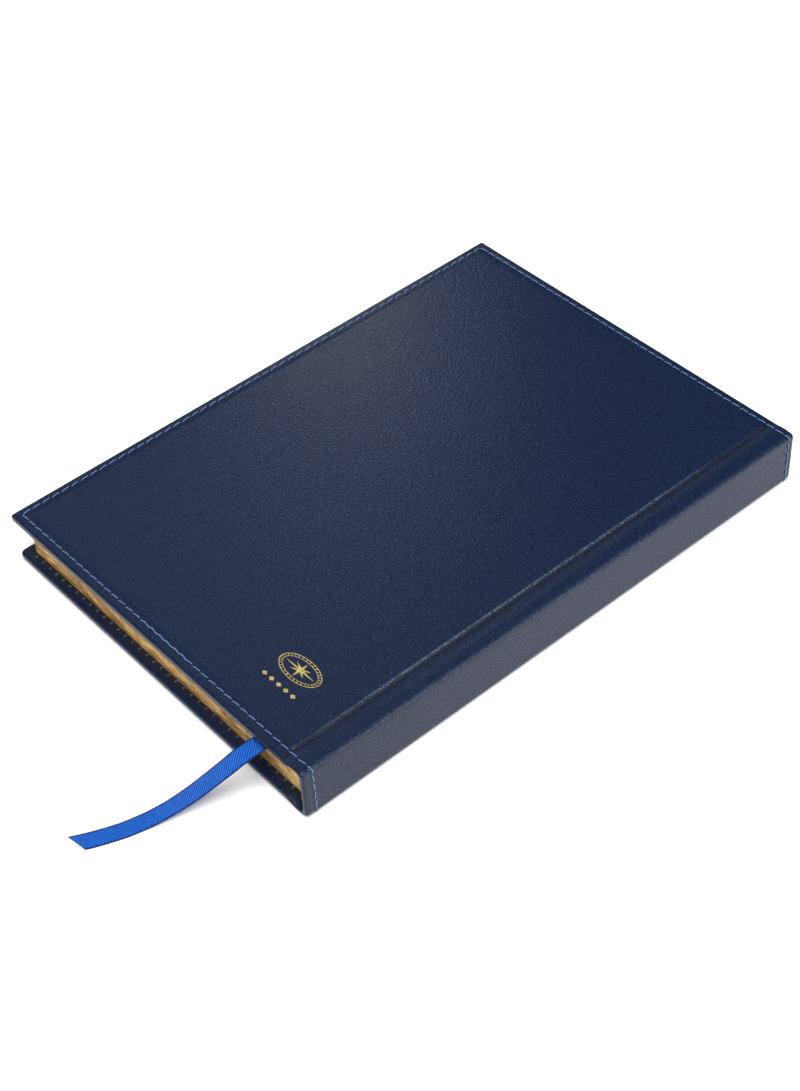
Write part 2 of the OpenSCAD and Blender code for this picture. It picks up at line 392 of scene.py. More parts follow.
def paper(name, dark, light, bends=False, ruled=False):
    """Uncoated paper with faint fibres, and fine ruling if it is a ruled leaf."""
    n = Nodes(name)
    place = n.place(bends)
    fibre = n.noise(place, 1.8, 5, 0.65)
    cloud = n.noise(place, 0.03, 2, 0.5)
    tone = n.plus(fibre, n.times(cloud, 0.4))
    colour = n.mix(n.spread(tone, 0.4, 1.0), dark, light)
    if ruled:
        colour = ruling(n, place, colour)
    n.set(Base_Color=colour, Roughness=0.82, Normal=n.bump(fibre, 0.25, 0.03))
    return n.material


# ruling of the leaves: (axis across the lines, pitch, half width)
RULES = (("Y", 7.0, 0.09), ("X", 24.0, 0.07))
RULE_MARGIN = 14.0
RULE_COLOUR = (0.16, 0.24, 0.38)


def ruling(n, place, colour):
    """Thin grey-blue rules across the leaf, and finer column rules, inside plain margins."""
    axes = n.axes(place)
    masks = []
    for axis, pitch, half in RULES:
        offset = n.math("PINGPONG", axes[axis], pitch / 2)
        masks.append(n.math("LESS_THAN", offset, half))
    lines = n.math("MAXIMUM", *masks)
    off_middle = n.minus(axes["X"], (BLOCK_LOW.x + BLOCK_HIGH.x) / 2)
    half_x = (BLOCK_HIGH.x - BLOCK_LOW.x) / 2
    for offset, half in ((off_middle, half_x), (axes["Y"], BLOCK_HIGH.y)):
        lines = n.times(lines, n.math("LESS_THAN", n.math("ABSOLUTE", offset), half - RULE_MARGIN))
    return n.mix(n.times(lines, 0.55), colour, RULE_COLOUR)


def gilt():
    """Antique gold on the cut edges of the leaves: streaks along the leaves, worn and mottled."""
    n = Nodes("gilt_edge")
    place = n.place(True)
    leaf = n.noise(n.scaled(place, (0.02, 0.02, 5.0)), 1.0, 4, 0.75)
    streak = n.noise(n.scaled(place, (0.16, 0.16, 1.2)), 1.0, 4, 0.6)
    worn = n.noise(place, 0.22, 5, 0.7)
    speck = n.noise(n.scaled(place, (1, 1, 1.8)), 1.5, 3, 0.6)
    tone = n.total((leaf, 0.25), (streak, 0.5), (worn, 0.25))
    colour = n.ramp(tone, [(0.38, (0.09, 0.040, 0.010)), (0.46, (0.34, 0.17, 0.040)),
                           (0.53, (0.70, 0.40, 0.11)), (0.61, (1.0, 0.74, 0.34))])
    colour = n.mix(n.spread(speck, 0.55, 0.72, 0.0, 0.45), colour, (1.0, 0.74, 0.36))
    n.set(Base_Color=colour, Metallic=0.35, Roughness=n.spread(worn, 0.3, 0.7, 0.36, 0.55),
          Normal=n.bump(n.plus(leaf, n.times(speck, 0.3)), 0.8, 0.12))
    return n.material


def foil():
    """Gold stamping foil that follows the grain under it and is worn thin in places."""
    n = Nodes("gold_foil")
    place = n.place(False)
    worn = n.noise(place, 0.9, 4, 0.7)
    n.set(Base_Color=n.mix(n.spread(worn, 0.3, 0.7), (0.32, 0.24, 0.05), (1.0, 0.82, 0.31)),
          Metallic=0.7, Roughness=n.spread(worn, 0.3, 0.7, 0.24, 0.4),
          Normal=n.bump(n.plus(n.cells(place, 1.0), worn), 1.0, 0.12))
    return n.material


def fibre_board(name, dark, light):
    """Pressed grey board or soft foam: speckled and matt."""
    n = Nodes(name)
    place = n.place(False)
    speckle = n.noise(place, 2.4, 5, 0.7)
    n.set(Base_Color=n.mix(n.spread(speckle, 0.3, 0.7), dark, light), Roughness=0.9,
          Normal=n.bump(speckle, 0.5, 0.08))
    return n.material


# the crease colour also paints the shade in the joint's groove
COVER_LEATHER = leather(crease_and_groove_shade=(0.002, 0.005, 0.016), dark=(0.0049, 0.0126, 0.038),
                        # the worn colour is rubbing and a painted highlight along the groove's crest, and a
                        # painted highlight along the spine's long edges
                        light=(0.0071, 0.017, 0.052), worn=(0.09, 0.12, 0.18), roughness=0.3)
SEAM_THREAD = thread("seam_thread", (0.05, 0.11, 0.24), (0.13, 0.23, 0.42))
BOBBIN_THREAD = thread("bobbin_thread", (0.05, 0.08, 0.15), (0.14, 0.19, 0.28))
BLACKS = ((0.004, 0.004, 0.006), (0.016, 0.016, 0.02))
BLACK_LINING = cloth("black_lining", *BLACKS, 0.55)
BLACK_HINGE = cloth("black_hinge", *BLACKS, 0.55, bends=True)
IVORIES = ((0.54, 0.49, 0.40), (0.64, 0.595, 0.51))
ENDPAPER = paper("endpaper", *IVORIES)
LEAF_PAPER = paper("leaf_paper", (0.56, 0.53, 0.455), (0.65, 0.625, 0.555), True, True)
FLYLEAF_PAPER = paper("flyleaf_paper", *IVORIES, True)
GILT = gilt()
FOIL = foil()
BOARD = fibre_board("grey_board", (0.22, 0.20, 0.17), (0.36, 0.33, 0.29))
FOAM = fibre_board("soft_foam", (0.36, 0.37, 0.39), (0.5, 0.51, 0.53))
GAUZE = cloth("spine_gauze_cloth", (0.5, 0.47, 0.4), (0.72, 0.69, 0.6), 1.4, strength=0.9)
KRAFT = paper("kraft_paper", (0.25, 0.16, 0.08), (0.38, 0.26, 0.14))
LINEN = thread("linen_thread", (0.6, 0.57, 0.5), (0.85, 0.82, 0.75), False)


def paint(obj, *materials):
    """Gives an object its materials; a face keeps its slot number."""
    slots = [face.material_index for face in obj.data.polygons]
    obj.data.materials.clear()
    for material in materials:
        obj.data.materials.append(material)
    if len(materials) > 1:
        obj.data.polygons.foreach_set("material_index", slots)
    return obj


# --- camera, light and floor ---

CAMERA_AZIMUTH = 53.4
CAMERA_ELEVATION = 43.9
CAMERA_ROLL = -5.2
CAMERA_DISTANCE = 0.7953
CAMERA_TARGET = Vector((-0.0126, -0.0208, 0.0))
CAMERA_LENS = 68.85
CAMERA_SHIFT = (0.052, -0.016)
SUN_PLACE = (0.5, -0.4, 1.7)
SUN_STRENGTH = 4.6
SUN_ANGLE = 56
# a small highlight on the cover, a broad faint one, and a low light along the spine:
# (name, place, target, size, power)
SOFTBOXES = (
    ("softbox_back", (-0.312, 0.216, 0.233), (-0.095, 0.05, 0.023), 0.11, 0.108),
    ("softbox_side", (-1.15, 0.35, 1.2), (0, -0.1, 0.02), 1.0, 1.5),
    ("softbox_spine", (1.1, 0.35, 0.22), (0.08, 0, 0.012), 0.5, 5.0),
)
AMBIENT = 0.08
FLOOR_HALF = 9000


def make_camera():
    """The camera: turned round the book from its tail, raised, and rolled a little."""
    azimuth, elevation = math.radians(CAMERA_AZIMUTH), math.radians(CAMERA_ELEVATION)
    roll = math.radians(CAMERA_ROLL)
    back = Vector((math.sin(azimuth) * math.cos(elevation),
                   -math.cos(azimuth) * math.cos(elevation), math.sin(elevation)))
    level = Vector((0, 0, 1)).cross(back).normalized()
    upright = back.cross(level)
    right = level * math.cos(roll) + upright * math.sin(roll)
    up = upright * math.cos(roll) - level * math.sin(roll)
    data = bpy.data.cameras.new("camera")
    data.lens = CAMERA_LENS
    data.shift_x, data.shift_y = CAMERA_SHIFT
    camera = bpy.data.objects.new("camera", data)
    turn = Matrix((right, up, back)).transposed()
    camera.matrix_world = Matrix.Translation(CAMERA_TARGET + back * CAMERA_DISTANCE) @ turn.to_4x4()
    bpy.context.scene.collection.objects.link(camera)
    bpy.context.scene.camera = camera


def add_light(name, kind, place, target, power):
    """A light at place that points at target, both in metres."""
    data = bpy.data.lights.new(name, kind)
    data.energy = power
    light = bpy.data.objects.new(name, data)
    direction = Vector(target) - Vector(place)
    turn = direction.to_track_quat("-Z", "Y").to_matrix().to_4x4()
    light.matrix_world = Matrix.Translation(place) @ turn
    bpy.context.scene.collection.objects.link(light)
    return data


def make_world():
    """Dim light from all around the book, and a white studio wall past the end of the floor."""
    world = bpy.data.worlds.new("studio")
    world.use_nodes = True
    nodes, links = world.node_tree.nodes, world.node_tree.links
    ambient, wall = nodes["Background"], nodes.new("ShaderNodeBackground")
    for background, strength in ((ambient, AMBIENT), (wall, 1.0)):
        background.inputs["Color"].default_value = (1, 1, 1, 1)
        background.inputs["Strength"].default_value = strength
    shown = nodes.new("ShaderNodeMixShader")
    links.new(nodes.new("ShaderNodeLightPath").outputs["Is Camera Ray"], shown.inputs[0])
    links.new(ambient.outputs[0], shown.inputs[1])
    links.new(wall.outputs[0], shown.inputs[2])
    links.new(shown.outputs[0], nodes["World Output"].inputs["Surface"])
    bpy.context.scene.world = world


def make_studio():
    """A wide even light from above the camera, the softboxes, and a plain pale floor."""
    bpy.context.scene.view_settings.view_transform = "Standard"
    make_world()
    overhead = add_light("overhead_light", "SUN", SUN_PLACE, (0, 0, 0), SUN_STRENGTH)
    overhead.angle = math.radians(SUN_ANGLE)
    for name, place, target, size, power in SOFTBOXES:
        box = add_light(name, "AREA", place, target, power)
        box.shape = "SQUARE"
        box.size = size
    corners = [(FLOOR_HALF * x, FLOOR_HALF * y, 0) for x, y in ((-1, -1), (1, -1), (1, 1), (-1, 1))]
    floor = new_object("studio_floor", corners, [(0, 1, 2, 3)])
    n = Nodes("floor_paper")
    n.set(Base_Color=(0.9, 0.9, 0.9, 1), Roughness=0.9, Specular_IOR_Level=0.1)
    paint(floor, n.material)


make_camera()
make_studio()

# --- the marker ribbon ---

RIBBON_W = 7.0
RIBBON_T = 0.24
RIB_PITCH = 1.15
WARP_PITCH = 0.28
# distances from the middle over which the colour darkens towards the long edges
EDGE_DARKENING = (2.75, 3.15)
RIBBON_COLUMNS = 15
# the tail twists by TWIST and back within TWIST_RUN, and its slanted cut takes up the last CUT_ROWS points
TWIST = 11
TWIST_RUN = 42.0
CUT_SLANT = -5.0
CUT_ROWS = 12
RIBBON_HEAD = (76, 110)
# the free tail's route, as in the CAD source
RIBBON_ROUTE = [
    (61.8, -115.6, 18.1), (61.8, -119, 18.0), (61.5, -123, 17.6), (60.9, -127, 16.6),
    (60, -131, 14.7), (58.6, -135, 12.2), (57, -139, 9.4), (55.4, -143, 6.8),
    (53.9, -147, 4.7), (52.5, -151, 3.0), (51.2, -155, 1.8), (50, -159, 1.0),
    (48.8, -163, 0.6), (47.6, -167, 0.4), (46.2, -171, 0.4), (44.6, -175, 0.4),
    (42.8, -179, 0.4), (41, -182.6, 0.4),
]


def curve_through(points, per_span):
    """A smooth curve through the points (Catmull-Rom)."""
    p = [Vector(q) for q in points]
    p = [p[0] * 2 - p[1], *p, p[-1] * 2 - p[-2]]
    out = []
    for a, b, c, d in zip(p, p[1:], p[2:], p[3:]):
        for k in range(per_span):
            t = k / per_span
            out.append(0.5 * (2 * b + (c - a) * t + (2 * a - 5 * b + 4 * c - d) * t * t
                              + (3 * b - a - 3 * c + d) * t ** 3))
    return out + [p[-2]]


def ribbon_material():
    """Satin ribbon: slanted twill ribs, fine warp threads, and colour that darkens towards both long edges.
    """
    n = Nodes("blue_satin")
    weave = n.add("Attribute", attribute_name="weave_mm").outputs["Vector"]
    across, length, _ = n.axes(weave)
    slant = n.minus(length, across)
    rib = n.spread(n.math("SINE", n.times(slant, math.tau / RIB_PITCH)), -1, 1)
    fine = n.math("SINE", n.times(across, math.tau / WARP_PITCH))
    edge_darkening = n.spread(n.math("ABSOLUTE", across), *EDGE_DARKENING)
    cloud = n.noise(weave, 0.5, 3, 0.6)
    tone = n.total((rib, 0.65), (cloud, 0.5))
    colour = n.mix(n.spread(tone, 0.2, 0.85), (0.0012, 0.015, 0.15), (0.0125, 0.152, 0.66))
    # the colour darkens towards both long edges
    colour = n.mix(n.times(edge_darkening, 0.9), colour, (0.001, 0.012, 0.10))
    height = n.plus(rib, n.times(fine, 0.12))
    n.set(Base_Color=colour, Roughness=0.4, Normal=n.bump(height, 1.0, 0.2), Specular_IOR_Level=0.2)
    return n.material


BLUE_SATIN = ribbon_material()


def ribbon_strip(name, line, cut=0.0, camber=0.12, twist=0.0):
    """A woven strip along a line: a thin closed band with a slight camber, twist and slanted cut end."""
    columns, half_t = RIBBON_COLUMNS, RIBBON_T / 2
    points, weave, run = [], [], 0.0
    for i, p in enumerate(line):
        ahead = (line[min(i + 1, len(line) - 1)] - line[max(i - 1, 0)]).normalized()
        flat = Vector((-ahead.y, ahead.x, 0)).normalized()
        raised = ahead.cross(flat)
        raised = -raised if raised.z < 0 else raised
        run += (p - line[i - 1]).length if i else 0
        roll = twist * math.sin(math.pi * min(run / TWIST_RUN, 1))
        across = flat * math.cos(roll) - raised * math.sin(roll)
        up = raised * math.cos(roll) + flat * math.sin(roll)
        for side in (1, -1):
            for j in range(columns):
                u = (j / (columns - 1) - 0.5) * RIBBON_W * side
                slide = cut * (u / RIBBON_W) * smoothstep(len(line) - CUT_ROWS, len(line) - 1, i)
                bow = camber * (1 - (2 * u / RIBBON_W) ** 2)
                edge = 0.55 + 0.45 * math.sqrt(max(0, 1 - abs(2 * u / RIBBON_W) ** 8))
                height = side * half_t * edge + bow - camber / 2
                points.append(p + across * u + ahead * slide + up * height)
                weave.append((u, run + slide, 0))
    ring = 2 * columns
    faces = ring_faces(len(line), ring)
    for first, flip in ((0, True), ((len(line) - 1) * ring, False)):
        for j in range(columns - 1):
            quad = (first + j, first + j + 1, first + ring - 2 - j, first + ring - 1 - j)
            faces.append(quad[::-1] if flip else quad)
    obj = new_object(name, points, faces)
    attribute = obj.data.attributes.new("weave_mm", "FLOAT_VECTOR", "POINT")
    for i, w in enumerate(weave):
        attribute.data[i].vector = w
    return paint(obj, BLUE_SATIN)


def make_ribbon():
    """The marker ribbon: its free tail, and the stretch that lies between the pages."""
    line = curve_through(RIBBON_ROUTE, 5)
    tail = ribbon_strip("ribbon_tail_woven", line, cut=CUT_SLANT, twist=math.radians(TWIST))
    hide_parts("ribbon_tail")
    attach(tail, "book_block")
    start = Vector(RIBBON_ROUTE[0])
    end = Vector((*RIBBON_HEAD, start.z))
    straight = [start.lerp(end, i / 40) for i in range(41)]
    inner = ribbon_strip("ribbon_inner_woven", straight, camber=0.0)
    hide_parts("ribbon_inner")
    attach(inner, "book_block")


make_ribbon()

# --- leather of the covers and spine ---

FIELD_D = 9.0
SIDE_PAD = (3.9, 6.6)
GROOVE_FADE = (4.4, 15.0)
SPINE_R = 1.5
SKIN_T = 0.32
LIP_D = 2.7
STRIP_T = 1.35
SPINE_T = 2.1
FILLET_R = 2.4
FLAT_START = 6.2
MATCH_STEPS = 400
SKIN_STEP_X = 1.6
SKIN_STEP_Y = 1.2
SHARP_ANGLE = 55
DIMPLE = 0.13
DIMPLE_W = 0.4
# the profile across the joint, from the padded field to the strip: (x from the board's end, depth)
GROOVE = [(-3.0, 0.0), (-2.0, 0.0), (-1.4, 0.01), (-1.0, 0.05), (-0.65, 0.15), (-0.35, 0.35),
          (-0.08, 0.68), (0.18, 1.0), (0.45, 1.24), (0.75, 1.3), (1.3, 1.24), (2.1, 1.07),
          (3.0, 0.87), (3.8, 0.71), (4.6, 0.59), (5.4, 0.52)]
# insets from the edge of the points across the sewn rim
RIM_INSETS = [8.3, 7.6, 7.0, 6.4, 5.8, 5.2, 4.6, 4.1, 3.7, 3.4, 3.1, 2.8, 2.4, 2.0, 1.6]
# of each cover, back (1) or front (-1): its name, corner radius, outer and inner edge radius, and seed
COVER_SHAPE = {1: ("back", 0.9, 1.05, 0.8, 11), -1: ("front", 2.4, 1.45, 1.1, 37)}


def height_at(side, c):
    """The height of a point at depth c on a cover."""
    return THICK - c if side > 0 else c


class Column:
    """A line of the skin that runs from tail to head: its (x, c) outside and inside, and its kind."""

    def __init__(self, x, c, kind, inner):
        self.outer, self.kind, self.inner = (x, c), kind, inner

    def at(self, d, depth=0.0):
        """(x, c) at d from the tail or head edge; depth goes from 0, outside, to 1, inside."""
        x, c = self.outer
        if self.kind == "field":
            padded, sunk = max(RIM_C - c, 0), max(c - RIM_C, 0)
            c = RIM_C - padded * smoothstep(*SIDE_PAD, d) + sunk * smoothstep(*GROOVE_FADE, d)
        return x + (self.inner[0] - x) * depth, c + (self.inner[1] - c) * depth

    def thick(self):
        """The leather's thickness at the edge, from the rim to the inside."""
        rim = (self.outer[0], RIM_C if self.kind != "flat" else self.outer[1])
        return math.dist(rim, self.inner)


def arc_points(centre, radius, start, end, count):
    """Points on an arc; 0 degrees is towards +x and 90 degrees towards the outside, -c."""
    turns = [math.radians(start + (end - start) * k / count) for k in range(count + 1)]
    return [(centre[0] + radius * math.cos(a), centre[1] - radius * math.sin(a)) for a in turns]


def flat_columns():
    """Columns over the strip, round the corner of the spine and down to the middle of its face."""
    first = BOARD_X + FLAT_START
    turn = arc_points((X_SPINE - SPINE_R, RIM_C + SPINE_R), SPINE_R, 90, 0, 7)
    face = [(X_SPINE, c) for c in spaced(RIM_C + SPINE_R, MID_C, 1.3)[1:]]
    outside = [(x, RIM_C) for x in spaced(first, turn[0][0], 1.1)[:-1]] + turn + face
    strip_in, spine_in = RIM_C + STRIP_T, X_SPINE - SPINE_T
    fillet = arc_points((spine_in - FILLET_R, strip_in + FILLET_R), FILLET_R, 90, 0, 10)
    inside = [(first, strip_in)] + fillet + [(spine_in, MID_C)]
    inside = [Vector((x, c, 0)) for x, c in inside]
    lengths = [0.0]
    for p, q in zip(outside, outside[1:]):
        lengths.append(lengths[-1] + math.dist(p, q))
    steps = along(inside, MATCH_STEPS)
    matched = [steps[round(MATCH_STEPS * run / lengths[-1])].to_tuple()[:2] for run in lengths]
    return [Column(x, c, "flat", inner) for (x, c), inner in zip(outside, matched)]


def skin_columns():
    """Columns from the fore side of the padded field to the middle of the spine face."""
    field = spaced(X_FORE + FIELD_D, BOARD_X - 3.4, SKIN_STEP_X)
    columns = [Column(x, 0.0, "field", (x, LIP_C)) for x in field]
    for dx, c in GROOVE:
        inner_c = LIP_C + (RIM_C + STRIP_T - LIP_C) * smoothstep(0.5, 5.0, dx)
        columns.append(Column(BOARD_X + dx, c, "field", (BOARD_X + dx, inner_c)))
    return columns + flat_columns()


def seam_dimple(d):
    """How far the stitches pull the leather in, at d from the edge."""
    return DIMPLE * math.exp(-((d - SEAM_D) / DIMPLE_W) ** 2)


def edge_profile(thick, round_out, round_in):
    """(inset, depth in mm) pairs over the edge: across the rim, round it, down the side, along the lip."""
    r1, r2 = min(round_out, thick * 0.48), min(round_in, thick * 0.45)
    profile = [(d, seam_dimple(d)) for d in RIM_INSETS]
    for k in range(6):
        a = math.radians(90 * k / 5)
        profile.append((r1 - r1 * math.sin(a), r1 - r1 * math.cos(a)))
    profile.append((0.0, (thick + r1 - r2) / 2))
    for k in range(5):
        a = math.radians(90 * k / 4)
        profile.append((r2 - r2 * math.cos(a), thick - r2 + r2 * math.sin(a)))
    profile += [((r2 + LIP_D) / 2, thick), (LIP_D, thick)]
    return profile


def outline_point(corner_r, d, turn, side):
    """Where the corner of the outline, inset by d, lies at a turn from 0 (end side) to 90 (fore side)."""
    r = max(corner_r - d, 0.0)
    inset = max(corner_r, d)
    a = math.radians(turn)
    return X_FORE + inset - r * math.sin(a), side * (Y_HEAD - inset + r * math.cos(a))


def surface_noise(x, y, seed):
    """Gentle unevenness of the padding under the leather."""
    far = noise.noise(Vector((x * 0.02, y * 0.02, seed)))
    near = noise.noise(Vector((x * 0.09, y * 0.09, seed + 7)))
    return 0.05 * far + 0.02 * near


def crest_wrinkles(x, y, seed):
    """Fine slanting creases where the padded face turns down into the groove."""
    near = math.exp(-((x - (BOARD_X - 0.9)) / 1.4) ** 2)
    slant = noise.noise(Vector((x * 0.9 + y * 0.45, y * 0.9, seed)))
    fine = noise.noise(Vector((x * 1.8 - y * 1.1, y * 1.9, seed + 3)))
    return near * (0.13 * slant + 0.06 * fine)


def rise(x, y, seed):
    """How far the leather's field stands above its plain shape."""
    d = Y_HEAD - abs(y)
    fade = smoothstep(FIELD_D - 1, FIELD_D + 8, d) * smoothstep(0, 8, x - X_FORE - FIELD_D)
    return fade * (surface_noise(x, y, seed) + crest_wrinkles(x, y, seed))


def skin_half(side):
    """Half of the leather: one cover, its joint strip and half of the spine face, as one closed sheet."""
    label, corner_r, round_out, round_in, seed = COVER_SHAPE[side]
    columns = skin_columns()
    rows = spaced(-(Y_HEAD - FIELD_D), Y_HEAD - FIELD_D, SKIN_STEP_Y)
    points = []
    for y in rows:
        for column in columns:
            x, c = column.at(Y_HEAD - abs(y))
            c = c if column.kind == "flat" else c - rise(x, y, seed)
            points.append((x, y, height_at(side, c if side > 0 else max(c, 0.0))))
    faces = grid_faces(len(rows), len(columns))

    # the stations go round the rim: tail edge, corner, fore edge, corner, head edge
    ends = []
    for end in (-1, 1):
        run = [("column", column, end) for column in reversed(columns)]
        ends.append(run + [("corner", turn, end) for turn in spaced(0, 90, 15)])
    path = ends[0] + [("fore", y, 0) for y in rows] + list(reversed(ends[1]))
    first = len(points)
    for kind, value, end in path:
        thick = value.thick() if kind == "column" else LIP_C - RIM_C
        ring = []
        for d, sink in [(FIELD_D, 0.0)] + edge_profile(thick, round_out, round_in):
            if kind == "column":
                x, c = value.at(d, sink / thick)
                y = end * (Y_HEAD - d)
            else:
                c = RIM_C - smoothstep(*SIDE_PAD, d) * RIM_C + sink
                x, y = (X_FORE + d, value) if kind == "fore" else outline_point(corner_r, d, value, end)
            ring.append((x, y, height_at(side, c)))
        points += ring
    faces += grid_faces(len(path), len(ring), first)
    obj = clean(new_object(f"{label}_leather_skin", points, faces))
    face_up(obj, side)
    solidify(obj, SKIN_T)
    obj.data.set_sharp_from_angle(angle=math.radians(SHARP_ANGLE))
    return paint(obj, COVER_LEATHER)


def face_up(obj, side):
    """Turns an open sheet's normals outwards: up on the back cover and down on the front cover."""
    if sum(face.normal.z * face.area for face in obj.data.polygons) * side < 0:
        obj.data.flip_normals()


def bend_at_spine(obj):
    """Keeps a piece's place at rest for its materials and bakes its transform into its points, for a piece
    that turns with its cover at the corner of the spine.
    """
    keep_rest(obj)
    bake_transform(obj)


def make_leather(side):
    """The leather of one cover with its half of the spine."""
    skin = skin_half(side)
    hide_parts(f"{COVER_SHAPE[side][0]}_leather", "spine_leather")
    bend_at_spine(skin)


# --- seams ---

STITCH_PITCH = 4.4
STITCH_GAP = 0.8
THREAD_R = 0.2
PLY_PITCH = 1.5
STITCH_STEPS = 16
STITCH_LIFT = 0.18
STITCH_DIVE = 0.5
STITCH_SLANT = 0.2
# how far the seam lies from the tail edge (-1) and the head edge (1), on the covers and on the spine
COVER_SEAM_D = {-1: SEAM_D, 1: SEAM_D + 0.4}
SPINE_SEAM_D = {-1: 4.4, 1: 3.0}
# the stitches where the seam's two ends overlap
TACK_STITCHES = 6
TACK_SHIFT = 0.45
TACK_SLANT = -0.3
TACK_LIFT = 0.16


def seam_line(end):
    """The seam along one end, from the fore corner to the middle of the spine: points and normals."""
    columns = [Column(X_FORE + SEAM_D, RIM_C, "flat", (X_FORE + SEAM_D, LIP_C))] + flat_columns()
    points, normals = [], []
    for column in columns:
        x, c = column.outer
        past = SPINE_SEAM_D[end] - COVER_SEAM_D[end]
        d = COVER_SEAM_D[end] + past * smoothstep(BOARD_X, X_SPINE, x)
        points.append(Vector((x, end * (Y_HEAD - d), c)))
        if x < X_SPINE - SPINE_R:
            normals.append(Vector((0, 0, -1)))
        else:
            centre = Vector((X_SPINE - SPINE_R, 0, max(c, RIM_C + SPINE_R)))
            normals.append((Vector((x, 0, c)) - centre).normalized())
    return points, normals


def sample(points, normals, distance):
    """The point, tangent and normal at a distance along a seam."""
    for p, q, m, n in zip(points, points[1:], normals, normals[1:]):
        length = (q - p).length
        if distance <= length or q is points[-1]:
            t = distance / length
            return p.lerp(q, t), (q - p).normalized(), m.lerp(n, t).normalized()
        distance -= length


def tube(centres, radii, ring=10, twist=0.0):
    """A closed tube of two plies along centres; twist is in radians per ring."""
    points, side = [], None
    for i, p in enumerate(centres):
        ahead = (centres[min(i + 1, len(centres) - 1)] - centres[max(i - 1, 0)]).normalized()
        side = ahead.orthogonal() if side is None else side - ahead * side.dot(ahead)
        side.normalize()
        up = ahead.cross(side)
        for k in range(ring):
            a = math.tau * k / ring
            r = radii[i] * (1 + 0.14 * math.cos(2 * (a - twist * i)))
            points.append(p + side * (r * math.cos(a)) + up * (r * math.sin(a)))
    return points, tube_faces(len(centres), ring)


def stitch(points, normals, start, length, slant, lift=0.0):
    """One stitch: it comes up through a hole, lies on the leather and goes down through the next hole."""
    centres, radii = [], []
    for i in range(STITCH_STEPS + 1):
        t = 2 * i / STITCH_STEPS - 1
        p, tangent, normal = sample(points, normals, start + length * i / STITCH_STEPS)
        across = tangent.cross(normal)
        raised = STITCH_LIFT - STITCH_DIVE * t ** 6 + lift
        centres.append(p + normal * raised + across * (slant * t))
        radii.append(THREAD_R * (1 - 0.3 * t ** 6))
    return tube(centres, radii, twist=math.pi * length / PLY_PITCH / STITCH_STEPS)


def gather(parts):
    """Joins (points, faces) parts into one list of each."""
    points, faces = [], []
    for part_points, part_faces in parts:
        faces += [tuple(i + len(points) for i in face) for face in part_faces]
        points += part_points
    return points, faces


def seam_runs():
    """The seam's runs, tail, head and fore edge, each as (points, normals, length, stitch count)."""
    ends = (COVER_SEAM_D[-1] - Y_HEAD, Y_HEAD - COVER_SEAM_D[1])
    fore = [Vector((X_FORE + SEAM_D, y, RIM_C)) for y in ends]
    runs = [seam_line(-1), seam_line(1), (fore, [Vector((0, 0, -1))] * 2)]
    out = []
    for points, normals in runs:
        length = sum((q - p).length for p, q in zip(points, points[1:]))
        out.append((points, normals, length, round(length / STITCH_PITCH)))
    return out


def wobble(index, seed):
    """A small steady difference from one stitch to the next."""
    return noise.noise(Vector((index * 1.37, seed, 0.5)))


def thread_piece(name, side, parts, material):
    """One object of threads that were made on the front cover's side of the book."""
    points, faces = gather(parts)
    placed = [(p.x, p.y, height_at(side, p.z)) for p in points]
    return paint(clean(new_object(name, placed, faces), FINE_WELD), material)


def make_seam(side):
    """The seam of one cover and its half of the spine."""
    label = COVER_SHAPE[side][0]
    parts = []
    for r, (points, normals, length, count) in enumerate(seam_runs()):
        pitch = length / count
        for i in range(count):
            slip = 0.12 * wobble(i, 3 * r + side)
            slant = STITCH_SLANT + 0.08 * wobble(i, 30 + r)
            start = i * pitch + STITCH_GAP / 2 + slip
            parts.append(stitch(points, normals, start, pitch - STITCH_GAP, slant))
        if r == 0 and side > 0:
            first = (count - TACK_STITCHES) // 2
            for i in range(first, first + TACK_STITCHES):
                start = (i + TACK_SHIFT) * pitch
                parts.append(stitch(points, normals, start, pitch - STITCH_GAP, TACK_SLANT, TACK_LIFT))
    seam = thread_piece(f"{label}_seam", side, parts, SEAM_THREAD)
    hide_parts(f"{label}_stitching", "spine_stitching")
    bend_at_spine(seam)


# --- hinge cloth inside the joints, and the lower thread ---

HINGE_INSET = 2.0
HINGE_T = 0.2
LOOP_R = 0.42
LOOP_TURN = 250
LOOP_STEPS = 12
LOOP_THREAD_R = 0.13


def hinge_line():
    """(x, c) from the cover's lining, over the inside of the strip, to the middle of the spine's lining."""
    strip_in = RIM_C + STRIP_T - HINGE_T
    spine_in = X_SPINE - SPINE_T - 0.35
    corner = arc_points((spine_in - 1.6, strip_in + 1.6), 1.6, 90, 0, 6)
    line = [(BOARD_X - 1.6, LINING_C - 0.1), (BOARD_X - 0.4, LINING_C - 0.14),
            (BOARD_X + 0.5, LINING_C - 0.5), (BOARD_X + 1.3, LINING_C - 1.2),
            (BOARD_X + 2.3, strip_in + 0.35), (BOARD_X + 3.5, strip_in)]
    return line + corner + [(spine_in, c) for c in spaced(corner[-1][1], MID_C, 1.5)[1:]]


def make_hinge_cloth(side):
    """Black cloth that lines the joint."""
    label = COVER_SHAPE[side][0]
    line = hinge_line()
    rows = spaced(-(Y_HEAD - HINGE_INSET), Y_HEAD - HINGE_INSET, 4)
    points = [(x, y, height_at(side, c)) for y in rows for x, c in line]
    sheet = clean(new_object(f"{label}_hinge_cloth", points, grid_faces(len(rows), len(line))))
    face_up(sheet, side)
    paint(solidify(sheet, HINGE_T), BLACK_HINGE)
    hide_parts(f"{label}_joint_liner")
    bend_at_spine(sheet)


def inside_c(x):
    """How deep the inside of the cover or of its hinge cloth lies at x."""
    line = hinge_line()
    for (x0, c0), (x1, c1) in zip(line, line[1:]):
        if x0 <= x < x1:
            return max(c0 + (c1 - c0) * (x - x0) / (x1 - x0) + HINGE_T, 0)
    return LINING_C


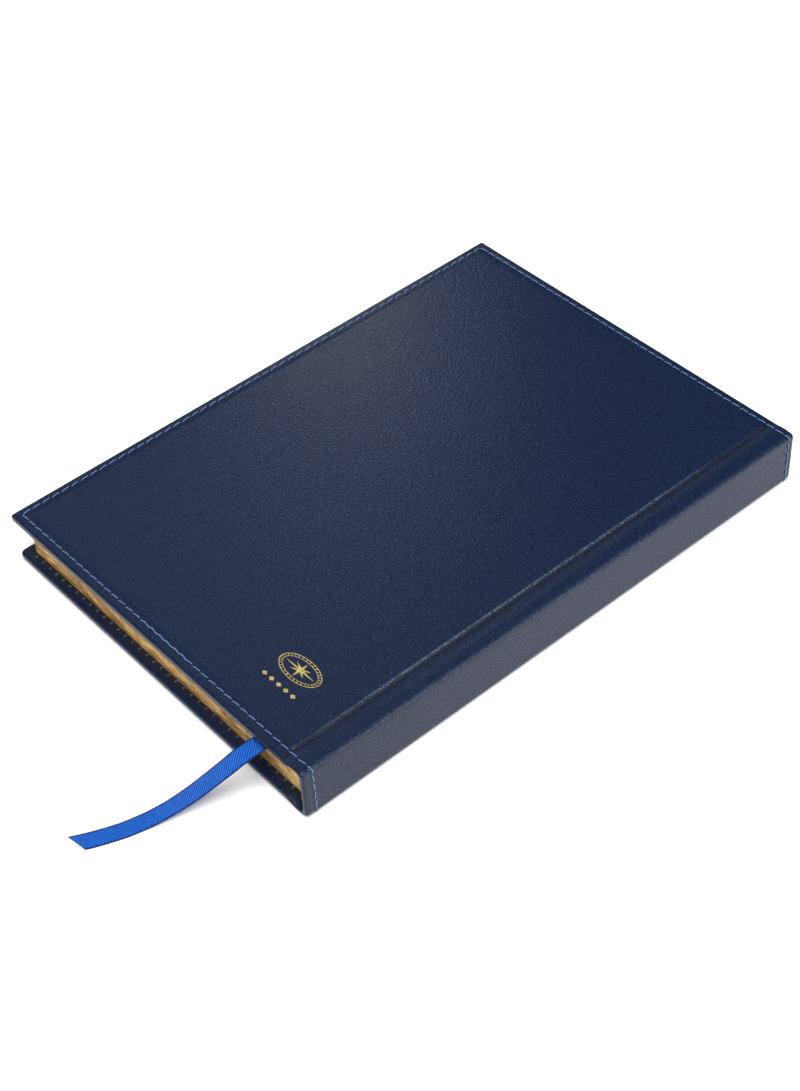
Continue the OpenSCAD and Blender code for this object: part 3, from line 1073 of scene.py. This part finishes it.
def make_bobbin_loops(side):
    """Small open loops of the lower thread on the lining, one at each hole of the seam."""
    label = COVER_SHAPE[side][0]
    parts = []
    for r, (points, normals, length, count) in enumerate(seam_runs()):
        for i in range(1, count):
            p, tangent, _ = sample(points, normals, i * length / count)
            if p.x > X_SPINE - SPINE_T - 1.5:
                continue
            across = Vector((-tangent.y, tangent.x, 0))
            tilt = math.radians(50 + 30 * wobble(i, 60 + r))
            centres = []
            for k in range(LOOP_STEPS + 1):
                a = tilt + math.radians(LOOP_TURN) * (k / LOOP_STEPS)
                bow = LOOP_THREAD_R * (0.9 - 1.6 * (k / (LOOP_STEPS / 2) - 1) ** 6)
                spot = p + (tangent * math.cos(a) + across * math.sin(a)) * LOOP_R
                centres.append(Vector((spot.x, spot.y, inside_c(spot.x) + bow)))
            parts.append(tube(centres, [LOOP_THREAD_R] * len(centres), ring=6))
    loops = thread_piece(f"{label}_bobbin_thread", side, parts, BOBBIN_THREAD)
    bend_at_spine(loops)


for cover_side in (1, -1):
    make_leather(cover_side)
    make_seam(cover_side)
    make_bobbin_loops(cover_side)
    make_hinge_cloth(cover_side)

# --- leaves ---

LEAF_STEP = 0.22
LEAF_STEP_X = 6
LEAF_STEP_Y = 3
FINE_RUN = 16


def leaf_stack(name, low, high, seed, bends):
    """Leaves in a box: uneven cut edges, a plain top and bottom, and smaller faces where they bend."""
    near_spine = high.x - FINE_RUN if bends else high.x
    xs = spaced(low.x, near_spine, LEAF_STEP_X)
    if bends:
        xs += spaced(near_spine, high.x, 1)[1:]
    ys = spaced(low.y, high.y, LEAF_STEP_Y)
    nx, ny = len(xs), len(ys)
    rim = [(i, 0) for i in range(nx)] + [(nx - 1, j) for j in range(1, ny)]
    rim += [(i, ny - 1) for i in range(nx - 2, -1, -1)] + [(0, j) for j in range(ny - 2, 0, -1)]
    levels = spaced(low.z, high.z, LEAF_STEP)

    def inset(level, i, j):
        """How far a leaf's cut edge stands back from the block's side there."""
        leaf = 0.05 + 0.05 * noise.noise(Vector((level * 3.7, seed, 0)))
        group = 0.06 * abs(noise.noise(Vector((levels[level] * 0.8, seed * 1.3, 4))))
        sway = 0.03 * noise.noise(Vector((i * 0.2 + j * 0.13, level * 2.9, seed)))
        return max(0.0, leaf + group + sway) if 0 < level < len(levels) - 1 else 0.03

    def edge_point(level, i, j):
        back = inset(level, i, j)
        x, y = xs[i], ys[j]
        x += back if i == 0 else 0
        y += back if j == 0 else (-back if j == ny - 1 else 0)
        return (x, y, levels[level])

    points = [edge_point(level, i, j) for level in range(len(levels)) for i, j in rim]
    faces = ring_faces(len(levels), len(rim))
    slots = [0] * len(faces)
    for level in (0, len(levels) - 1):
        index = {spot: level * len(rim) + k for k, spot in enumerate(rim)}
        for j in range(1, ny - 1):
            for i in range(1, nx - 1):
                index[i, j] = len(points)
                points.append((xs[i], ys[j], levels[level]))
        for j in range(ny - 1):
            for i in range(nx - 1):
                quad = (index[i, j], index[i + 1, j], index[i + 1, j + 1], index[i, j + 1])
                faces.append(quad if level else quad[::-1])
                slots.append(1)
    return new_object(name, points, faces, smooth=False, face_slots=slots)


def make_core():
    """The middle of the block, which doesn't bend."""
    core = keep_rest(leaf_stack("core_leaves", BLOCK_LOW, BLOCK_HIGH, 5, False))
    paint(core, GILT, LEAF_PAPER)
    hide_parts("core_sections")
    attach(core, "book_block")


def make_turning_leaves(body, paper_material, seed):
    """Leaves that turn with their cover: they stay with the block at the spine and bend just beyond it."""
    low, high = box_mm(body)
    leaves = keep_rest(leaf_stack(f"{body}_sheets", low, high, seed, True))
    paint(leaves, GILT, paper_material)
    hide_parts(body)
    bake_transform(leaves)


make_core()
for k, leaf_body in enumerate(("front_leaves_1", "front_leaves_2", "back_leaves_1", "back_leaves_2")):
    make_turning_leaves(leaf_body, LEAF_PAPER, 20 + k)
for k, leaf_body in enumerate(("front_flyleaf", "back_flyleaf")):
    make_turning_leaves(leaf_body, FLYLEAF_PAPER, 40 + k)

# --- head and tail bands ---

BAND_RIB = 0.9
BAND_RING = 16


def band_material():
    """Striped cloth: blue and cream ribs in turn."""
    n = Nodes("band_stripes")
    place = n.place(False)
    stripe = n.math("SINE", n.times(n.axes(place)["Z"], math.pi / BAND_RIB))
    fibre = n.noise(n.scaled(place, (6, 6, 1)), 1.2, 4, 0.6)
    colour = n.mix(n.spread(stripe, -0.15, 0.15), (0.012, 0.035, 0.16), (0.7, 0.66, 0.55))
    n.set(Base_Color=n.mix(n.times(fibre, 0.25), colour, (0.1, 0.1, 0.12)), Roughness=0.6,
          Normal=n.bump(fibre, 0.5, 0.05), Sheen_Weight=0.3)
    return n.material


def make_end_band(node):
    """A rolled band with raised ribs along the end of the block's spine."""
    low, high = box_mm(node)
    centre = (low + high) / 2
    heights = spaced(low.z, high.z, BAND_RIB / 6)
    points = []
    for z in heights:
        r = (high.y - low.y) / 2 * (0.86 + 0.14 * abs(math.sin(math.pi * (z - low.z) / BAND_RIB)))
        points += [(*on_oval(centre, (r, r), math.tau * k / BAND_RING), z) for k in range(BAND_RING)]
    faces = tube_faces(len(heights), BAND_RING)
    band = paint(new_object(node + "_rolled", points, faces), BAND_STRIPES)
    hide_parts(node)
    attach(band, "book_block")


BAND_STRIPES = band_material()
for band_node in ("head_band", "tail_band"):
    make_end_band(band_node)

# --- gold stamping ---

FOIL_T = 0.05
FOIL_LIFT = 0.012
RING_W = 0.3
STAR_RIDGE = 0.06
# insets from the oval's outline of the inner ring's two sides and of the star's long points, in x and y
INNER_RING = ((1.5, 1.1), (1.72, 1.32))
STAR_INSET = (2.2, 1.7)
# parts of the oval's half sizes at which the star's short points and its notches lie
STAR_SHORT = (0.52, 0.5)
STAR_NOTCH = (0.17, 0.2)
TICKS = 32
TICK_HALF = 0.09
LOZENGES = 5
LOZENGE_HALF = (1.25, 1.0)


def on_cover(x, y, lift):
    """A point lift above the leather of the back cover."""
    return Vector((x, y, THICK + rise(x, y, COVER_SHAPE[1][4]) + lift))


def oval_band(centre, outer, inner, count=96):
    """A flat oval ring; outer and inner are its half sizes."""
    points, faces = [], []
    for k in range(count):
        a = math.tau * k / count
        for half, lift in ((outer, FOIL_LIFT), (outer, FOIL_T), (inner, FOIL_T), (inner, FOIL_LIFT)):
            points.append(on_cover(*on_oval(centre, half, a), lift))
    for k in range(count):
        m = (k + 1) % count
        for i in range(4):
            j = (i + 1) % 4
            faces.append((4 * k + i, 4 * m + i, 4 * m + j, 4 * k + j))
    return points, faces


def raised_outline(outline, middle, ridge=0.0):
    """A closed flat shape around a middle point, which stands ridge higher than its outline."""
    count = len(outline)
    points = [on_cover(x, y, lift) for lift in (FOIL_LIFT, FOIL_T) for x, y in outline]
    points += [on_cover(*middle, FOIL_LIFT), on_cover(*middle, FOIL_T + ridge)]
    faces = []
    for k in range(count):
        m = (k + 1) % count
        faces += [(k, m, count + m, count + k), (m, k, 2 * count), (count + k, count + m, 2 * count + 1)]
    return points, faces


def make_compass():
    """An oval compass rose: two rings with ticks between them and an eight-pointed star."""
    low, high = box_mm("foil_star")
    centre = (low + high) / 2
    rx, ry = (high.x - low.x) / 2, (high.y - low.y) / 2
    outer, inner = (rx - RING_W, ry - RING_W), (rx - INNER_RING[0][0], ry - INNER_RING[0][1])
    parts = [oval_band(centre, (rx, ry), outer)]
    parts.append(oval_band(centre, inner, (rx - INNER_RING[1][0], ry - INNER_RING[1][1])))
    for k in range(TICKS):
        a, b = (math.tau * (k + o) / TICKS for o in (-TICK_HALF, TICK_HALF))
        quad = [on_oval(centre, half, t) for half, t in ((inner, a), (outer, a), (outer, b), (inner, b))]
        middle = (sum(p[0] for p in quad) / 4, sum(p[1] for p in quad) / 4)
        parts.append(raised_outline(quad, middle))
    tips = [(rx - STAR_INSET[0], ry - STAR_INSET[1]), (rx * STAR_SHORT[0], ry * STAR_SHORT[1])] * 4
    notch = (rx * STAR_NOTCH[0], ry * STAR_NOTCH[1])
    outline = []
    for k, tip in enumerate(tips):
        outline.append(on_oval(centre, tip, math.tau * k / 8))
        outline.append(on_oval(centre, notch, math.tau * (k + 0.5) / 8))
    parts.append(raised_outline(outline, (centre.x, centre.y), STAR_RIDGE))
    finish_foil("foil_compass", parts, "foil_star")


def make_lozenges():
    """A row of small lozenges beside the compass."""
    low, high = box_mm("foil_bar")
    centre = (low + high) / 2
    pitch = (high.x - low.x) / LOZENGES
    wide, deep = LOZENGE_HALF
    parts = []
    for k in range(LOZENGES):
        x = centre.x + pitch * (k - (LOZENGES - 1) / 2)
        outline = [(x + dx, centre.y + dy) for dx, dy in ((wide, 0), (0, deep), (-wide, 0), (0, -deep))]
        parts.append(raised_outline(outline, (x, centre.y), STAR_RIDGE))
    finish_foil("foil_lozenges", parts, "foil_bar")


def finish_foil(name, parts, node):
    """One object of foil parts, on the back cover."""
    points, faces = gather(parts)
    obj = paint(clean(new_object(name, points, faces, smooth=False), FINE_WELD), FOIL)
    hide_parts(node)
    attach(obj, "back_cover")


make_compass()
make_lozenges()

# --- CAD nodes that keep their shape ---

KEPT_NODES = {
    "front_padding": FOAM, "back_padding": FOAM, "front_board": BOARD, "back_board": BOARD,
    "spine_board": BOARD, "front_lining": BLACK_LINING, "back_lining": BLACK_LINING,
    "spine_lining": BLACK_LINING, "front_pastedown": ENDPAPER, "back_pastedown": ENDPAPER,
    "sewing_thread": LINEN, "spine_gauze": GAUZE, "spine_paper": KRAFT,
}
for node_name, node_material in KEPT_NODES.items():
    paint(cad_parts[node_name], node_material)
